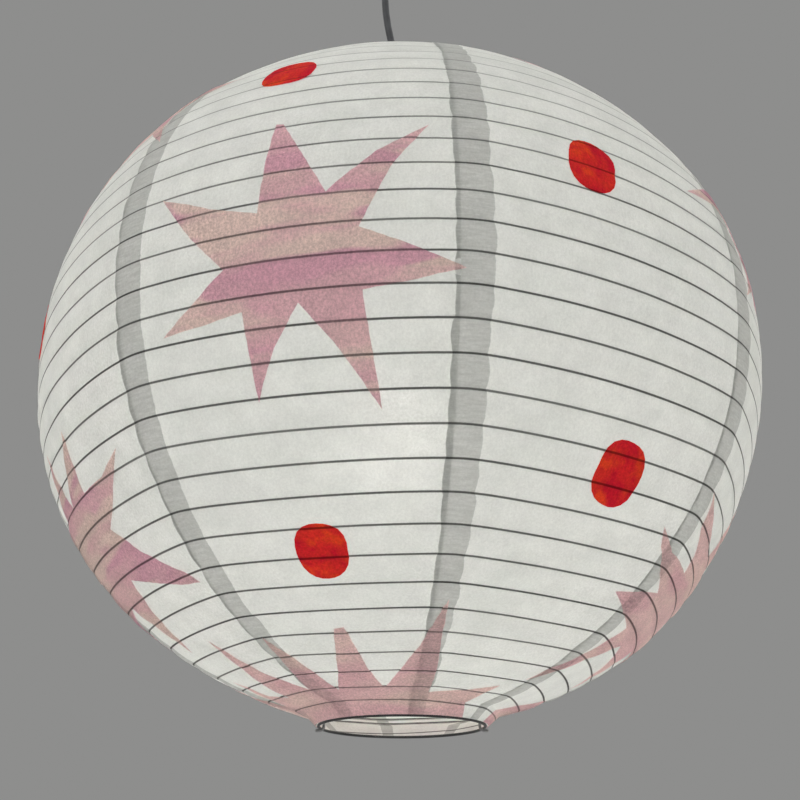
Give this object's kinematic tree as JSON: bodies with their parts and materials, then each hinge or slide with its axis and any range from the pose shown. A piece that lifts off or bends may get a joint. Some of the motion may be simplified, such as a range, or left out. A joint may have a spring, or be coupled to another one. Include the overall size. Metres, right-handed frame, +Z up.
{
  "type": "paper lantern",
  "caption": "Round paper pendant lantern: paper gores on a helical rib wire, held open by a wire expander, hung on a flex from a ceiling rose.",
  "frame": {"origin": "the middle of the rose's ceiling face", "axes": "+Z up out of the ceiling face, -Y towards the front, +X to the right seen from the front"},
  "size_m": [0.447, 0.4477, 0.6694],
  "materials": {
    "white_plastic": "smooth moulded white plastic",
    "brass": "bare brass",
    "screw_steel": "zinc-plated steel screws",
    "flex_sheath": "dark grey PVC flex, slightly matt",
    "core_sheath": "PVC core insulation",
    "ceramic": "unglazed white porcelain",
    "expander_wire": "drawn, galvanised spring wire",
    "ring_wire": "steel wire, dark painted",
    "rib_wire": "thin dark steel wire",
    "paper": "white fibrous mulberry-type paper, lit from inside",
    "pink_tissue": "pink tissue, mottled, glued on by hand",
    "red_tissue": "red tissue, mottled orange and crimson",
    "opal_glass": "opal bulb glass",
    "clear_glass": "clear glass stem",
    "filament": "yellow-coated light-emitting sticks",
    "cap_metal": "rolled aluminium screw cap",
    "black_glass": "black glass insulator"
  },
  "bodies": {
    "rose": {"rose_base": "white_plastic", "rose_live_terminal": "brass", "rose_neutral_terminal": "brass", "rose_terminal_screws": "screw_steel", "cord_clamp": "white_plastic", "cord_clamp_screws": "screw_steel", "flex_tail": "flex_sheath", "rose_cores": "core_sheath"},
    "rose_cover": {"rose_cover": "white_plastic"},
    "flex": {"flex": "flex_sheath"},
    "lantern": {"strain_relief": "white_plastic", "holder_cap": "white_plastic", "holder_sleeve": "white_plastic", "holder_insert": "ceramic", "screw_shell": "brass", "centre_contact": "brass", "holder_terminals": "brass", "holder_terminal_screws": "screw_steel", "holder_cores": "core_sheath", "expander_hub": "expander_wire", "expander_leg_left": "expander_wire", "expander_leg_right": "expander_wire", "top_ring": "ring_wire", "rib_spiral": "rib_wire", "gore_1": "paper", "gore_2": "paper", "gore_3": "paper", "gore_4": "paper", "gore_5": "paper", "gore_6": "paper", "gore_7": "paper", "gore_8": "paper", "star_1": "pink_tissue", "star_2": "pink_tissue", "star_3": "pink_tissue", "star_4": "pink_tissue", "star_5": "pink_tissue", "star_6": "pink_tissue", "star_7": "pink_tissue", "star_8": "pink_tissue", "dot_1": "red_tissue", "dot_2": "red_tissue", "dot_3": "red_tissue", "dot_4": "red_tissue", "dot_5": "red_tissue", "dot_6": "red_tissue", "dot_7": "red_tissue"},
    "shade_ring": {"shade_ring": "white_plastic"},
    "bulb": {"bulb_glass": "opal_glass", "bulb_stem": "clear_glass", "bulb_filaments": "filament", "bulb_screw_cap": "cap_metal", "bulb_insulator": "black_glass", "bulb_contact": "cap_metal"},
    "bottom_ring": {"bottom_ring": "ring_wire"}
  },
  "joints": [
    {"name": "swing", "type": "hinge", "parent": "rose", "child": "flex", "pos_m": [0, 0, -0.037], "axis": [0, 1, 0], "range_deg": [-15, 15]},
    {"name": "twist", "type": "hinge", "parent": "flex", "child": "lantern", "pos_m": [0, 0, -0.353], "axis": [0, 0, 1], "range_deg": [-90, 90]},
    {"name": "shade_collapse", "type": "slide", "parent": "lantern", "child": "bottom_ring", "axis": [0, 0, 1], "range_m": [0, 0.37], "deforming": ["rib_spiral", "gore_1", "gore_2", "gore_3", "gore_4", "gore_5", "gore_6", "gore_7", "gore_8", "star_1", "star_2", "star_3", "star_4", "star_5", "star_6", "star_7", "star_8", "dot_1", "dot_2", "dot_3", "dot_4", "dot_5", "dot_6", "dot_7"]},
    {"name": "bulb_turn", "type": "hinge", "parent": "lantern", "child": "bulb", "pos_m": [0, 0, -0.43], "axis": [0, 0, 1], "range_deg": [0, 1800]},
    {"name": "shade_ring_turn", "type": "hinge", "parent": "lantern", "child": "shade_ring", "pos_m": [0, 0, -0.432], "axis": [0, 0, 1], "range_deg": [0, 1080]},
    {"name": "rose_cover_turn", "type": "hinge", "parent": "rose", "child": "rose_cover", "pos_m": [0, 0, -0.02], "axis": [0, 0, 1], "range_deg": [0, 900]}
  ]
}
